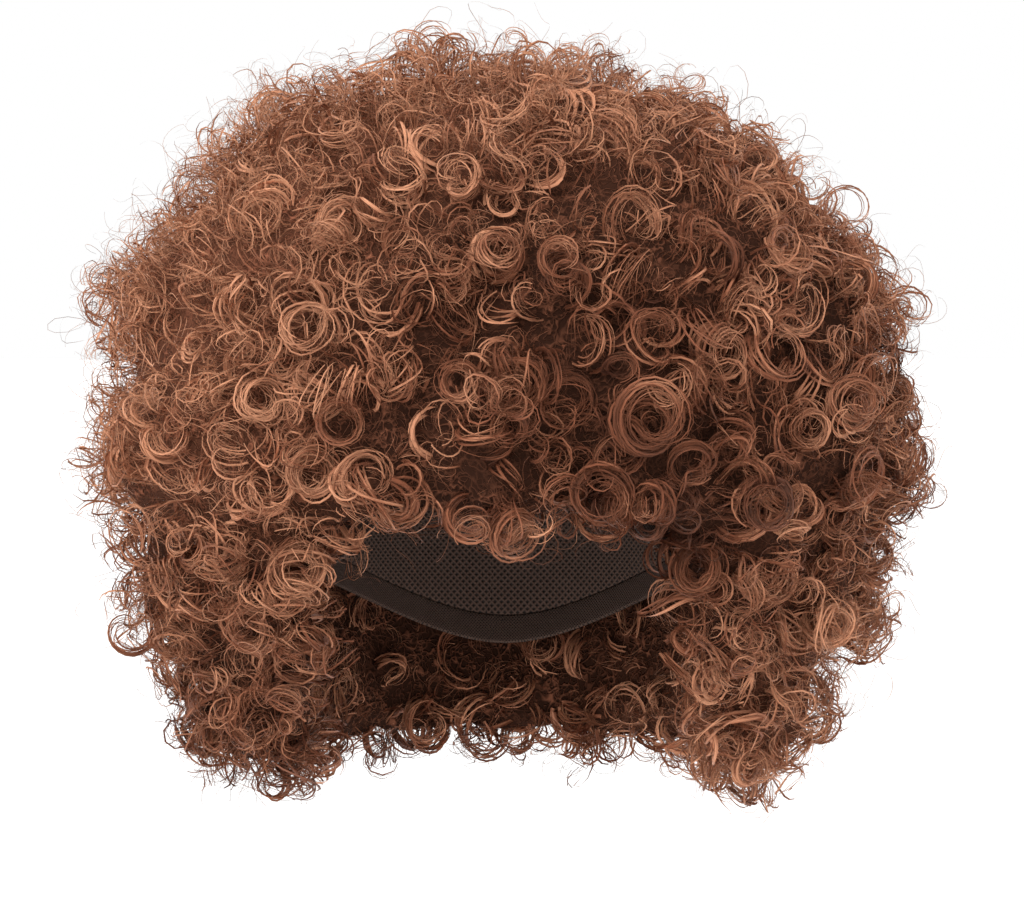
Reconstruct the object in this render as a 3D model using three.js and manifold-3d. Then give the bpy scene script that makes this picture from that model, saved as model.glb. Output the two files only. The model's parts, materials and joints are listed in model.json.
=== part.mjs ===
// Curly afro wig: a stretch cap with an elastic edge band, and rows of curled hair sewn round it.
// Millimetres, +Z up, the face side towards -Y. The origin is the inside of the cap's crown,
// where the top of the wearer's head sits.

import * as THREE from "three";
import { mergeVertices } from "three/addons/utils/BufferGeometryUtils.js";
import Module from "manifold-3d";

const wasm = await Module();
wasm.setup();

// Driving dimensions

// The inside of the cap is a half-open ellipsoid, whose top is the origin.
const HEAD_HALF_WIDTH = 76;
const HEAD_HALF_LENGTH = 96;
const HEAD_CENTRE_DEPTH = 95;

const CAP_WALL = 1.6;
const BAND_HEIGHT = 11;
const BAND_WALL = 2.2;
const SEAM_GAP = 0.4; // between the cap and its edge band
const SEWING_GAP = 0.6; // between the cap and the hair sewn on it
const ROW_GAP = 0.8; // between one row of hair and the next, at the cap
const END_GAP = 0.04; // what is left free at each end of a row, as a share of a section step

const LOCK_PUFF = 12; // how far the middle of a lock swells past the grooves round it
const CURL_STAND = 7; // how far a curl may stand out from its lock

// Where the cap ends: turn is the angle from the middle of the face, height is the rim's.
const RIM = [
  { turn: 0, height: -64 },
  { turn: 18, height: -66 },
  { turn: 50, height: -101 },
  { turn: 110, height: -112 },
  { turn: 180, height: -142 },
];

// Where the hair ends: drop is the angle down from straight up, seen from the head's centre.
// lean is how far the hair below the rim leans in towards the face and neck.
const HAIR_END = [
  { turn: 0, drop: 90, lean: 2 },
  { turn: 34, drop: 92, lean: 2 },
  { turn: 48, drop: 122, lean: 8 },
  { turn: 64, drop: 133, lean: 30 },
  { turn: 90, drop: 136, lean: 36 },
  { turn: 180, drop: 134, lean: 8 },
];

// The hair's outline: its distance from the head's centre by drop, on four sides.
const OUTLINE = [
  { drop: 0, front: 187, left: 187, right: 187, back: 187 },
  { drop: 20, front: 187, left: 191, right: 190, back: 189 },
  { drop: 40, front: 184, left: 191, right: 190, back: 190 },
  { drop: 60, front: 171, left: 180, right: 180, back: 184 },
  { drop: 75, front: 155, left: 169, right: 171, back: 177 },
  { drop: 90, front: 134, left: 158, right: 163, back: 170 },
  { drop: 105, front: 118, left: 153, right: 153, back: 164 },
  { drop: 120, front: 112, left: 150, right: 150, back: 159 },
  { drop: 135, front: 110, left: 149, right: 150, back: 155 },
];

// The turns that a row of hair runs between.
const ROUND = [-180, 180];
const FRINGE_TURNS = [-33.75, 33.75];
const NAPE_TURNS = [33.75, 326.25];

// The rows of hair from the crown down. from and to are shares of the way from the crown to the
// rim, locks is how many would go right round, shift moves them round by a share of a lock, every
// is how often a lock carries a curl, and curl is its radius.
const ROWS = [
  { name: "crown_tuft", from: 0, to: 0.15, turns: ROUND, locks: 4, shift: 0.15, every: 1, curl: 12 },
  { name: "weft_top", from: 0.15, to: 0.32, turns: ROUND, locks: 12, shift: 0.5, every: 4, curl: 14 },
  { name: "weft_upper", from: 0.32, to: 0.49, turns: ROUND, locks: 16, shift: 0, every: 2, curl: 15 },
  { name: "weft_middle", from: 0.49, to: 0.66, turns: ROUND, locks: 16, shift: 0.5, every: 2, curl: 15 },
  { name: "weft_lower", from: 0.66, to: 0.83, turns: ROUND, locks: 16, shift: 0, every: 2, curl: 13 },
  { name: "weft_nape", from: 0.83, to: 1, turns: NAPE_TURNS, locks: 16, shift: 0, every: 2, curl: 13 },
  { name: "fringe", from: 0.83, to: 1, turns: FRINGE_TURNS, locks: 16, shift: 0, every: 1, curl: 10 },
];
const CURL_THICKNESS = 0.32; // the radius of a curl's own thickness, as a share of its curl radius
const CURL_TILT = { least: 0.35, most: 1.0 }; // radians by which curls stand up from their lock
const CURL_SPIN = 2.4; // radians from the way that one curl of a row leans to the way of the next
const TILT_CYCLES = 3; // how often the curls' tilt comes and goes while their lean goes round once

const FIELD_REACH = 60; // how far past its grooves a row's curls may reach
const FIELD_END = 1.25; // how far down the curls of the lowest row may hang, as a share

const TURN_STEP = 5.625; // degrees between sections
const CAP_TURN_STEP = 12;
const CAP_STEPS = 4;
const BAND_STEPS = 1;
const INNER_STEPS = 2;
const OUTER_STEPS = 4;
const UNDERSIDE_STEPS = 3;
const ROW_UPPER_SIDES = 1; // how many of the sides of a row's section face the row above
const FIELD_UPPER_SIDES = 2; // the same for the space that its curls may fill
const CURL_STEPS = 8;
const CURL_SIDES = 4;
const MERGE_DISTANCE = 0.001;

const CAP_LOOK = { color: 0x3a241a, roughness: 0.9, metalness: 0 };
const BAND_LOOK = { color: 0x3a241a, roughness: 0.8, metalness: 0 };
const HAIR_LOOK = { color: 0x7a4a32, roughness: 0.5, metalness: 0 };

// Working functions

const centre = new THREE.Vector3(0, 0, -HEAD_CENTRE_DEPTH);
const radians = THREE.MathUtils.degToRad;
const degrees = THREE.MathUtils.radToDeg;

// The angle from the middle of the face, from 0 to 180 on either side.
function fromFace(turn) {
  return Math.abs(THREE.MathUtils.euclideanModulo(turn + 180, 360) - 180);
}

// A table's column at a place on its key column, on a smooth curve through the rows that is level
// at the first and at the last one.
function read(table, key, column, at) {
  const last = table.length - 2;
  const above = table.findIndex((row) => row[key] > at);
  const i = above < 0 ? last : THREE.MathUtils.clamp(above - 1, 0, last);
  const [a, b] = [table[i], table[i + 1]];
  const slope = (before, after) => (after[column] - before[column]) / (after[key] - before[key]);
  const start = i > 0 ? slope(table[i - 1], b) : 0;
  const end = i < last ? slope(a, table[i + 2]) : 0;
  const span = b[key] - a[key];
  const u = THREE.MathUtils.clamp((at - a[key]) / span, 0, 1);
  const ease = u * u * (3 - 2 * u);
  return (
    THREE.MathUtils.lerp(a[column], b[column], ease) +
    span * u * (1 - u) * ((1 - u) * start - u * end)
  );
}

function direction(turn, drop) {
  const [t, d] = [radians(turn), radians(drop)];
  return new THREE.Vector3(Math.sin(d) * Math.sin(t), -Math.sin(d) * Math.cos(t), Math.cos(d));
}

// The rim's angle down the head's ellipsoid, in degrees, and the way from crown to rim in mm.
function rimDrop(turn) {
  const height = read(RIM, "turn", "height", fromFace(turn));
  return degrees(Math.acos((height + HEAD_CENTRE_DEPTH) / HEAD_CENTRE_DEPTH));
}

function crownToRim(turn) {
  return radians(rimDrop(turn)) * HEAD_CENTRE_DEPTH;
}

// A point on the head's form, grown by an offset, at a share of the way from crown to rim.
function onHead(turn, share, offset) {
  const sizes = [HEAD_HALF_WIDTH, HEAD_HALF_LENGTH, HEAD_CENTRE_DEPTH].map((s) => s + offset);
  return direction(turn, share * rimDrop(turn))
    .multiply(new THREE.Vector3(...sizes))
    .add(centre);
}

// The outline's distance from the head's centre, blended between its four sides.
function outlineRadius(turn, drop) {
  const [across, along] = [Math.sin(radians(turn)), -Math.cos(radians(turn))];
  const side = read(OUTLINE, "drop", across < 0 ? "left" : "right", drop);
  const end = read(OUTLINE, "drop", along < 0 ? "front" : "back", drop);
  return 1 / Math.hypot(across / side, along / end);
}

// A point outside the grooves between locks by swell, on the line out from the head's centre.
function onLocks(turn, share, swell) {
  const drop = share * read(HAIR_END, "turn", "drop", fromFace(turn));
  return direction(turn, drop)
    .multiplyScalar(outlineRadius(turn, drop) - CURL_STAND - LOCK_PUFF + swell)
    .add(centre);
}

// How far a row's lock swells at a place: most at its middle, nothing in the grooves. Down is
// the share of the way down the row.
function lockSwell(row, turn, down) {
  const around = Math.cos((radians(turn) * row.locks) / 2 - row.shift * Math.PI) ** 2;
  const along = Math.sin(down * Math.PI);
  return LOCK_PUFF * Math.sqrt(Math.max(0, around * along));
}

// The triangles of one end, in the order that its section runs.
function endFaces(section) {
  const flat = section.map((p) => new THREE.Vector2(Math.hypot(p.x, p.y), p.z));
  const runs = Math.sign(THREE.ShapeUtils.area(flat));
  return THREE.ShapeUtils.triangulateShape(flat, []).map(([a, b, c]) => {
    const turns = Math.sign(THREE.ShapeUtils.area([flat[a], flat[b], flat[c]]));
    return turns === runs ? [a, b, c] : [a, c, b];
  });
}

// One closed body through sections, which are loops of as many points each. A ring joins its
// last section to its first, and any other body gets a flat face at each end. The last sides of
// a row, upper many, face the row above, and are split along that row's own diagonals.
function bodyThrough(sections, isRing, upper = 0) {
  const size = sections[0].length;
  const positions = sections.flat().flatMap((p) => [p.x, p.y, p.z]);
  const triangles = [];
  const last = isRing ? sections.length : sections.length - 1;
  for (let i = 0; i < last; i++) {
    const next = (i + 1) % sections.length;
    for (let k = 0; k < size; k++) {
      const after = (k + 1) % size;
      const [a, b] = [i * size + k, i * size + after];
      const [c, d] = [next * size + k, next * size + after];
      if (k >= size - upper) triangles.push([a, c, b], [b, c, d]);
      else triangles.push([a, d, b], [a, c, d]);
    }
  }
  if (!isRing) {
    const end = (sections.length - 1) * size;
    for (const [a, b, c] of endFaces(sections[0])) triangles.push([a, b, c]);
    for (const [a, b, c] of endFaces(sections.at(-1))) triangles.push([end + a, end + c, end + b]);
  }
  const geometry = new THREE.BufferGeometry();
  geometry.setAttribute("position", new THREE.Float32BufferAttribute(positions, 3));
  geometry.setIndex(triangles.flat());
  return geometry;
}

// A geometry as a solid for joining. Triangles that closed up to a line at the crown go.
function solidOf(geometry) {
  const bare = geometry.clone();
  bare.deleteAttribute("normal");
  bare.deleteAttribute("uv");
  const merged = mergeVertices(bare, MERGE_DISTANCE);
  const kept = [];
  for (let i = 0; i < merged.index.count; i += 3) {
    const corners = [0, 1, 2].map((k) => merged.index.getX(i + k));
    if (new Set(corners).size === 3) kept.push(...corners);
  }
  const vertProperties = new Float32Array(merged.attributes.position.array);
  const triVerts = new Uint32Array(kept);
  return new wasm.Manifold(new wasm.Mesh({ numProp: 3, vertProperties, triVerts }));
}

function geometryOf(solid) {
  const mesh = solid.getMesh();
  const geometry = new THREE.BufferGeometry();
  geometry.setAttribute("position", new THREE.BufferAttribute(mesh.vertProperties, 3));
  geometry.setIndex(new THREE.BufferAttribute(mesh.triVerts, 1));
  geometry.computeVertexNormals();
  return geometry;
}

function steps(first, last, count) {
  return Array.from({ length: count + 1 }, (_, i) => THREE.MathUtils.lerp(first, last, i / count));
}

const goesRound = ([first, last]) => last - first === 360;

function turnsBetween(turns, step) {
  const [first, last] = turns;
  const all = steps(first, last, Math.round((last - first) / step));
  return goesRound(turns) ? all.slice(0, -1) : all;
}

// The cap and its edge band: walls on the head's form, from one share of the way down to another

function headWall(ends, count, wall) {
  const sections = turnsBetween(ROUND, CAP_TURN_STEP).map((turn) => {
    const down = steps(...ends(turn), count);
    const outside = down.map((share) => onHead(turn, share, wall));
    const inside = down.map((share) => onHead(turn, share, 0));
    return [...inside, ...outside.reverse()];
  });
  return geometryOf(solidOf(bodyThrough(sections, true)));
}

const bandTop = (turn) => 1 - BAND_HEIGHT / crownToRim(turn);
const capEnds = (turn) => [0, bandTop(turn) - SEAM_GAP / crownToRim(turn)];
const bandEnds = (turn) => [bandTop(turn), 1];

// A row of hair: its locks as one swelling body, with curls joined to some of them

// A curl is a ring that leans, so that its low side lies in the lock and its high side stands out.
function curlGeometry(row, turn, number) {
  const share = (row.from + row.to) / 2;
  const top = onLocks(turn, share, lockSwell(row, turn, 0.5));
  const out = top.clone().sub(onHead(turn, share, CAP_WALL)).normalize();
  const spin = number * CURL_SPIN;
  const nod = (1 + Math.cos(spin * TILT_CYCLES)) / 2;
  const tilt = THREE.MathUtils.lerp(CURL_TILT.least, CURL_TILT.most, nod);
  const sideways = direction(turn + 90, 90).applyAxisAngle(out, spin);
  const axis = out.clone().applyAxisAngle(sideways, tilt);
  const thickness = row.curl * CURL_THICKNESS;
  const high = row.curl * Math.sin(tilt) + thickness;
  const ring = new THREE.TorusGeometry(row.curl, thickness, CURL_SIDES, CURL_STEPS);
  ring.applyQuaternion(new THREE.Quaternion().setFromUnitVectors(new THREE.Vector3(0, 0, 1), axis));
  const { x, y, z } = top.addScaledVector(out, CURL_STAND - high);
  return ring.translate(x, y, z);
}

// The shares where a row starts and ends at a turn, clear of its neighbours.
function rowShares(row, turn) {
  const gap = ROW_GAP / 2 / crownToRim(turn);
  return [row.from > 0 ? row.from + gap : 0, row.to < 1 ? row.to - gap : 1];
}

function rowInside(turn, first, last) {
  const offset = BAND_WALL + SEWING_GAP;
  return steps(first, last, INNER_STEPS).map((share) => onHead(turn, share, offset));
}

function rowSection(row, turn) {
  const [first, last] = rowShares(row, turn);
  const inside = rowInside(turn, first, last);
  const outside = steps(1, 0, OUTER_STEPS).map((down) =>
    onLocks(turn, THREE.MathUtils.lerp(first, last, down), lockSwell(row, turn, down)),
  );
  return [...inside, ...underside(row, turn, inside.at(-1), outside[0]), ...outside];
}

// The space that a row's curls may fill: its own wedge, carried on outwards.
function fieldSection(row, turn) {
  const [first, last] = rowShares(row, turn);
  const low = row.to < 1 ? last : FIELD_END;
  const far = steps(low, first, OUTER_STEPS).map((share) => onLocks(turn, share, FIELD_REACH));
  return [...rowInside(turn, first, low), onLocks(turn, low, 0), ...far, onLocks(turn, first, 0)];
}

// The lowest rows hang past the rim, leaning in towards the face and neck.
function underside(row, turn, rim, tip) {
  if (row.to < 1) return [];
  const lean = read(HAIR_END, "turn", "lean", fromFace(turn));
  const bend = new THREE.Vector3(rim.x, rim.y, tip.z);
  bend.addScaledVector(direction(turn, 90), -lean);
  const curve = new THREE.QuadraticBezierCurve3(rim, bend, tip);
  return curve.getPoints(UNDERSIDE_STEPS).slice(1, -1);
}

// A row's sections. One that doesn't go right round is drawn in a little at each end.
function sectionsOf(row, section) {
  const all = turnsBetween(row.turns, TURN_STEP).map((turn) => section(row, turn));
  if (goesRound(row.turns)) return all;
  const drawnIn = (end, next) => end.map((p, i) => p.clone().lerp(next[i], END_GAP));
  return [drawnIn(all[0], all[1]), ...all.slice(1, -1), drawnIn(all.at(-1), all.at(-2))];
}

function rowGeometry(row) {
  const isRing = goesRound(row.turns);
  const [first, last] = row.turns;
  const field = solidOf(bodyThrough(sectionsOf(row, fieldSection), isRing, FIELD_UPPER_SIDES));
  let solid = solidOf(bodyThrough(sectionsOf(row, rowSection), isRing, ROW_UPPER_SIDES));
  for (let number = 0; number < row.locks; number += row.every) {
    const turn = ((number + row.shift) * 360) / row.locks;
    const place = THREE.MathUtils.euclideanModulo(turn - first, 360) + first;
    if (place > last) continue;
    solid = solid.add(solidOf(curlGeometry(row, place, number)).intersect(field));
  }
  return geometryOf(solid);
}

// The assembly

function piece(name, geometry, look) {
  const mesh = new THREE.Mesh(geometry, new THREE.MeshStandardMaterial(look));
  mesh.name = name;
  return mesh;
}

const wig = new THREE.Group();
wig.add(piece("cap", headWall(capEnds, CAP_STEPS, CAP_WALL), CAP_LOOK));
wig.add(piece("edge_band", headWall(bandEnds, BAND_STEPS, BAND_WALL), BAND_LOOK));
for (const row of ROWS) wig.add(piece(row.name, rowGeometry(row), HAIR_LOOK));

export default wig;
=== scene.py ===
"""Curly afro wig: curled strands over a net cap with an elastic edge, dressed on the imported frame.

Metres, +Z up, the open front towards -Y, the origin inside the crown of the cap.
"""

import json
import math
from typing import NamedTuple

import bmesh
import bpy
import numpy as np
from bpy.props import FloatProperty, FloatVectorProperty, IntProperty, PointerProperty
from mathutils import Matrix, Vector
from mathutils.bvhtree import BVHTree


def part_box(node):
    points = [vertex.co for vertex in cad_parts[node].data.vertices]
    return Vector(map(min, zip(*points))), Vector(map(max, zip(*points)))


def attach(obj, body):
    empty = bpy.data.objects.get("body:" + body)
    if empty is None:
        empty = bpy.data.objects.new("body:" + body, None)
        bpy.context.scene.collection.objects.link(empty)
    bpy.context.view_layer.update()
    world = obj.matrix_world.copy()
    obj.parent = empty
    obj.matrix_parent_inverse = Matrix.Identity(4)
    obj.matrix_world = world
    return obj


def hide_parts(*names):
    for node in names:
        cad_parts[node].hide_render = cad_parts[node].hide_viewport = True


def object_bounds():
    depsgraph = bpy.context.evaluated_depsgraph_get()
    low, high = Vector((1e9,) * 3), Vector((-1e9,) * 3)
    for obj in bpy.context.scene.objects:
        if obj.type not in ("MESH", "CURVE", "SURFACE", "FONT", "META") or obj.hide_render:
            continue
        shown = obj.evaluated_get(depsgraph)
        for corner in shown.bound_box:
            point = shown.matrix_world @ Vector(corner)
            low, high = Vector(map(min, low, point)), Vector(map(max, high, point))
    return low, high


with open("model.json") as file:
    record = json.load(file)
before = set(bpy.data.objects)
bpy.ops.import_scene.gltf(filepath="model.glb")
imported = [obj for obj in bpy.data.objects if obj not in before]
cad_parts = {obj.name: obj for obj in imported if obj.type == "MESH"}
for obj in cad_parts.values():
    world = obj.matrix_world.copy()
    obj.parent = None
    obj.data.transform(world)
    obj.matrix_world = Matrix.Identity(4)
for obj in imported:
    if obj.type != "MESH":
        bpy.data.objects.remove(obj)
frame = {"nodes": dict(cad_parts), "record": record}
CAD_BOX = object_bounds()

bl_info = {
    "name": "Curly Afro Wig",
    "version": (1, 0, 0),
    "blender": (4, 5, 0),
    "location": "3D View > Sidebar > Wig",
    "description": "Dresses the packed wig with curled strands, a net cap and an elastic edge",
    "category": "Object",
}

HAIR_ROWS = tuple(p["node"] for p in frame["record"]["subparts"] if p["material_slot"] == "hair")
INNER = "inner"  # the strands that grow inside and below, which stand for no row

# The cap's hollow is an ellipsoid with its top at the origin, so the cap's box ends a wall above it.
CAP_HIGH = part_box("cap")[1]
CAP_HALF_WIDTH = CAP_HIGH.x - CAP_HIGH.z
CAP_CENTRE = np.array((0.0, 0.0, -0.095))

# The photograph's size in pixels, a pixel's in metres, and the place that lies at its middle.
PHOTO_WIDTH = 1024
PHOTO_HEIGHT = 909
PHOTO_SCALE = 0.371e-3
AIM = (0.0026, 0.0, -0.0646)
SENSOR_WIDTH = 36.0

FLOOR_HALF = 60.0
KEY_WAY = (0.45, 0.9, -0.75)
KEY_ANGLE = math.radians(40)

SEED = 7
MERGE_DISTANCE = 1e-5
SKIN = 0.0002  # how far past a surface a second ray starts
EDGE_WIDTH = 0.0004  # of the bevel round the cap's and the band's edges

# Where locks may grow.
RAY_LENGTH = 0.4  # of each ray, and how far out the rays from all round start
OUTER_RAYS = 14000  # cast at the hair from all round
INNER_RAYS = 3500  # cast from inside the hollow, and as many from below
HOLLOW_TOP = -0.05  # where the highest of the rays from inside start
BELOW = 0.1  # how far under the hair the rays from below start
ROOTED = 0.03  # how thick the hair is where a lock may grow inside or below
EVEN_SPACING = 0.0048  # between the places that are kept

# How locks stand there.
FILL_REACH = 0.024  # how far round a place its high neighbours are looked for
HIGH_SHARE = 0.93  # the quantile of their heights that a lock is moved out to
MOST_FILL = 0.011  # how far past the solid hair a lock may lie
OUT_SHARE = 0.7  # how much a lock grows straight out
NORMAL_SHARE = 0.3  # how much it grows square to the solid hair
SAG = np.array((0.0, 0.0, -0.15))  # what draws a coil's way down
FACING_OUT = 0.4  # how much a clear curl faces outwards, besides facing the camera
SPOT_REACH = 14  # pixels round a clear curl in which its place is looked for
BAND_MIDDLE = 0.8  # where the middle of a curl's band of strands lies, as a share of its radius
INNER_SHARE = 0.45  # how much loose hair grows inside and below, for what grows outside
THIN_SHARE = 0.3  # how much of it grows on clear ringlets and on thin places

# What frizz does to the hair, for a frizziness of one.
FRIZZ_SHARE = 1.15  # the share of ringlets that are frizzed out
FRIZZ_RISE = 0.006  # how much higher a lock stands
LOOSE_LEAST, LOOSE_FRIZZ = 0.6, 1.5  # how loose a lock is without frizz, and how much looser with it
WISPS_LEAST, WISPS_FRIZZ = 0.7, 1.2  # the same for how many wisps grow
WIDTH_LOST = 0.3  # how much thinner a strand is
BAND_LOST = 0.5  # how much narrower a band is

# How far a strand may differ from its lock.
TURN_SPREAD = 0.1
PHASE_SPREAD = 0.3
RADIUS_SPREAD = 0.2
WIDTH_SPREAD = 0.25
TONE_SPREAD = 0.1
LEAN = 0.3  # of its coil, as a share of the radius
SHIFT = 0.35  # of the whole strand, as a share of the lock's looseness

# How a strand runs from its root to its tip.
ROOT_DEPTH = 0.008  # how much deeper than its coil it is rooted
DIVE_POWER = 3.0  # how steeply it rises from there
SINK_POWER = 1.25  # how steeply its coil rises
TWIST = 0.6  # how far it turns about itself, in radians
WANDER_SCALE = 42.0  # of the noise that bends it
WANDER_DRIFT = 0.02  # how far apart the strands lie in that noise
CELL_WIDTH, CELL_HEIGHT = 0.7, 0.8  # how much of its cell of the bake's UV map it fills

BLUR_STEPS = 4  # by which the dense hair is evened
TUFT_SCALE = 90.0


class Kind(NamedTuple):
    """A kind of lock. Lengths in metres, tilt in degrees, each range as its least and most."""

    strands: int
    bands: int
    points: int
    radius: tuple
    turns: tuple
    depth: tuple
    rise: tuple
    tilt: tuple
    width: float
    band: float
    loose: float
    tone: float


RINGLET = Kind(
    strands=14, bands=10, points=26, radius=(0.0052, 0.0102), turns=(1.2, 1.7), depth=(0.009, 0.019),
    rise=(-0.007, 0.001), tilt=(0, 80), width=0.00036, band=0.001, loose=0.0021, tone=0.11,
)
DEEP_RINGLET = Kind(
    strands=7, bands=6, points=21, radius=(0.005, 0.0105), turns=(1.0, 1.4), depth=(0.009, 0.018),
    rise=(-0.011, -0.005), tilt=(0, 80), width=0.0005, band=0.0015, loose=0.0025, tone=0.11,
)
CLEAR_RINGLET = Kind(
    strands=24, bands=15, points=31, radius=(0.0075, 0.0095), turns=(1.7, 2.3), depth=(0.009, 0.016),
    rise=(-0.003, 0.0), tilt=(5, 45), width=0.00036, band=0.0009, loose=0.003, tone=0.08,
)
LOOP = Kind(
    strands=5, bands=0, points=31, radius=(0.006, 0.008), turns=(1.3, 1.9), depth=(0.003, 0.008),
    rise=(0.0, 0.002), tilt=(0, 30), width=0.0004, band=0.0004, loose=0.0016, tone=0.08,
)
WISP = Kind(
    strands=5, bands=2, points=12, radius=(0.003, 0.007), turns=(0.6, 1.15), depth=(0.005, 0.014),
    rise=(-0.010, 0.002), tilt=(10, 90), width=0.00028, band=0.0008, loose=0.003, tone=0.13,
)
FLYAWAY = Kind(
    strands=1, bands=0, points=14, radius=(0.003, 0.008), turns=(0.5, 1.2), depth=(0.006, 0.016),
    rise=(0.001, 0.010), tilt=(10, 90), width=0.00018, band=0.00018, loose=0.005, tone=0.14,
)


class Spot(NamedTuple):
    """A clear curl or a thin place in the photograph: its middle and its size across, in pixels."""

    x: float
    y: float
    across: float


CLEAR_SPOTS = (
    Spot(x=640, y=360, across=64), Spot(x=735, y=347, across=56), Spot(x=658, y=412, across=72),
    Spot(x=868, y=396, across=52), Spot(x=822, y=428, across=46), Spot(x=908, y=388, across=40),
    Spot(x=712, y=570, across=54), Spot(x=845, y=625, across=52), Spot(x=606, y=496, across=60),
    Spot(x=385, y=490, across=58), Spot(x=300, y=470, across=52), Spot(x=286, y=566, across=60),
    Spot(x=254, y=394, across=48), Spot(x=237, y=636, across=56), Spot(x=340, y=212, across=54),
    Spot(x=800, y=198, across=60), Spot(x=578, y=392, across=64), Spot(x=514, y=386, across=58),
    Spot(x=640, y=580, across=50), Spot(x=520, y=540, across=50), Spot(x=795, y=488, across=48),
    Spot(x=152, y=652, across=46), Spot(x=176, y=690, across=44),
)
LOOP_SPOTS = (
    Spot(x=250, y=94, across=42), Spot(x=430, y=38, across=42), Spot(x=518, y=36, across=26),
    Spot(x=598, y=44, across=36), Spot(x=856, y=196, across=44), Spot(x=940, y=492, across=36),
    Spot(x=200, y=742, across=44), Spot(x=256, y=768, across=46), Spot(x=743, y=788, across=46),
    Spot(x=826, y=744, across=42), Spot(x=690, y=66, across=34), Spot(x=190, y=186, across=36),
)
THIN_SPOTS = (Spot(x=450, y=546, across=64), Spot(x=452, y=504, across=60))  # in the fringe


class Shade(NamedTuple):
    """A place of painted shade on the front of the hair, where its curls stand in shadow: its middle,
    its size and how much darker it is.
    """

    x: float
    z: float
    reach: float
    amount: float


PAINTED_SHADES = (
    Shade(x=0.015, z=-0.035, reach=0.065, amount=0.36),
    Shade(x=0.066, z=-0.085, reach=0.032, amount=0.3),
)


class Slope(NamedTuple):
    """How a share changes over the hair: to the left, and upwards from a level, between two ends."""

    base: float
    left: float
    up: float
    level: float
    least: float
    most: float


FRIZZ = Slope(base=0.3, left=2.4, up=2.6, level=-0.02, least=0.22, most=0.8)
# Painted light: the hair's tone is lighter to the left and upwards, where the key light falls from the
# upper left.
PAINTED_LIGHT = Slope(base=0.76, left=1.1, up=1.3, level=-0.06, least=0.35, most=1.0)
LOW_RIGHT = 32.0  # how much lighter the lowest hair gets to the right
LOW_LEFT = 14.0  # how much darker it gets to the left


class Layer(NamedTuple):
    """Fibres painted on the dense hair: how closely they curl, their width and their lightness."""

    scale: float
    width: float
    light: float


UNDER_FIBRES = (
    Layer(scale=110.0, width=0.0003, light=1.0),
    Layer(scale=150.0, width=0.0003, light=0.85),
    Layer(scale=210.0, width=0.00025, light=0.7),
    Layer(scale=290.0, width=0.0002, light=0.55),
)


class CurlSettings(bpy.types.PropertyGroup):
    """The curled strands"""

    spacing: FloatProperty(
        name="Ringlet spacing", description="Least distance between two ringlets",
        default=0.0172, unit="LENGTH",
    )
    deep_spacing: FloatProperty(
        name="Deep ringlet spacing",
        description="Least distance between two ringlets of the layer below",
        default=0.0174, unit="LENGTH",
    )
    wisps: IntProperty(
        name="Wisps", description="How many wisps of frizz lie between the ringlets", default=3850,
    )
    flyaways: IntProperty(
        name="Flyaway strands", description="How many thin loops stand off the outline", default=2200,
    )
    dark: FloatVectorProperty(
        name="Dark strands", description="Colour of the darkest strands",
        subtype="COLOR", default=(0.085, 0.03, 0.019),
    )
    middle: FloatVectorProperty(
        name="Middle strands", description="Colour of most of the strands",
        subtype="COLOR", default=(0.295, 0.1, 0.052),
    )
    light: FloatVectorProperty(
        name="Light strands", description="Colour of the lightest strands",
        subtype="COLOR", default=(0.8, 0.37, 0.21),
    )
    sheen: FloatVectorProperty(
        name="Gloss", description="Colour of the light that the fibre throws back",
        subtype="COLOR", default=(1.0, 0.62, 0.4),
    )
    roughness: FloatProperty(
        name="Roughness", description="Roughness of the fibre", subtype="FACTOR", default=0.42,
    )


class UnderHairSettings(bpy.types.PropertyGroup):
    """The dense hair under the strands"""

    depth: FloatProperty(
        name="Depth", description="How far the dense mass lies under the outside of the hair",
        default=0.009, unit="LENGTH",
    )
    detail: FloatProperty(
        name="Detail", description="Size of the mass's faces", default=0.005, unit="LENGTH",
    )
    tufts: FloatProperty(
        name="Tufts", description="Height of the tufts on the mass", default=0.003, unit="LENGTH",
    )
    colour: FloatVectorProperty(
        name="Colour", description="Colour of the hair deep in the mass",
        subtype="COLOR", default=(0.3, 0.11, 0.06),
    )


class CapSettings(bpy.types.PropertyGroup):
    """The net cap and its elastic edge band"""

    pitch: FloatProperty(
        name="Net pitch", description="Distance between the threads of the net",
        default=0.0022, unit="LENGTH",
    )
    colour: FloatVectorProperty(
        name="Colour", description="Colour of the net and the elastic",
        subtype="COLOR", default=(0.066, 0.036, 0.025),
    )


class StageSettings(bpy.types.PropertyGroup):
    """The floor, the lights and the camera"""

    distance: FloatProperty(
        name="Camera distance", description="From the camera to the middle of the wig",
        default=1.3, unit="LENGTH",
    )
    elevation: FloatProperty(
        name="Camera elevation", description="Angle of the camera above the wig",
        default=math.radians(2.0), unit="ROTATION", subtype="ANGLE",
    )
    floor: FloatProperty(
        name="Floor", description="Height of the floor", default=-0.5, unit="LENGTH",
    )
    floor_colour: FloatVectorProperty(
        name="Floor colour", description="Colour of the plain pale floor",
        subtype="COLOR", default=(0.92, 0.92, 0.92),
    )
    sky: FloatProperty(
        name="Back light", description="Strength of the even white light behind the wig", default=1.0,
    )
    front: FloatProperty(
        name="Front light", description="Strength of the even white light in front of the wig",
        default=0.95,
    )
    key: FloatProperty(
        name="Key light", description="Strength of the soft light from the upper left", default=2.2,
    )


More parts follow.
